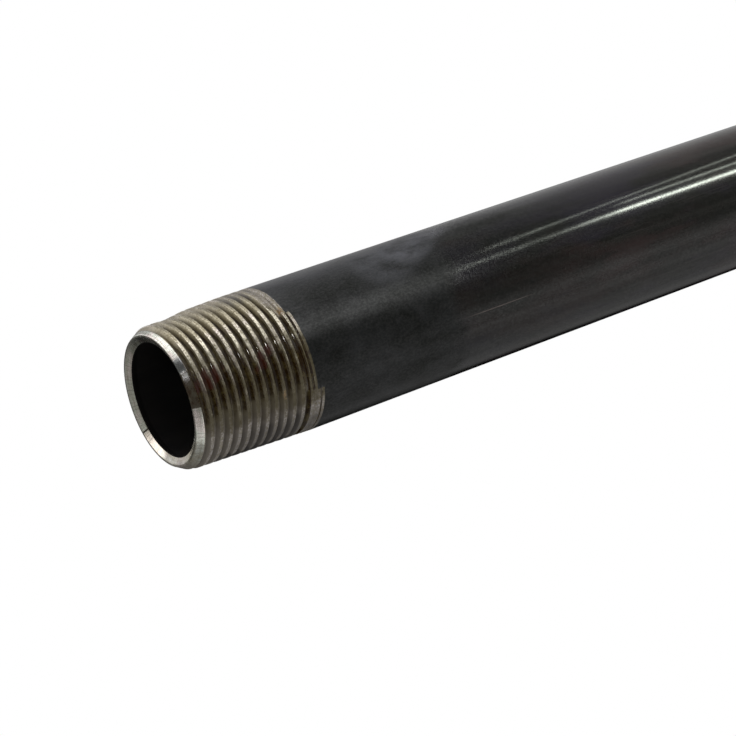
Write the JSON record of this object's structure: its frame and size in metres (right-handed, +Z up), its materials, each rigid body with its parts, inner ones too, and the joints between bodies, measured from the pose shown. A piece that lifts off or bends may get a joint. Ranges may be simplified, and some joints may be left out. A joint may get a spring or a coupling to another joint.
{
  "type": "black steel pipe",
  "caption": "Straight steel pipe with a dark lacquered mill finish and a bare, cut taper thread on both ends, for screwing into fittings and flanges.",
  "frame": {"origin": "centre of the lower end face, on the pipe's axis", "axes": "+Z runs up the pipe's axis to the upper end, which is the end seen in the picture"},
  "size_m": [0.0334, 0.0334, 0.3048],
  "materials": {
    "pipe": "dark lacquer over mill scale, satin to glossy, with bare oily cut steel on the threads and end faces"
  },
  "bodies": {
    "root": {"pipe": "pipe"}
  },
  "joints": []
}
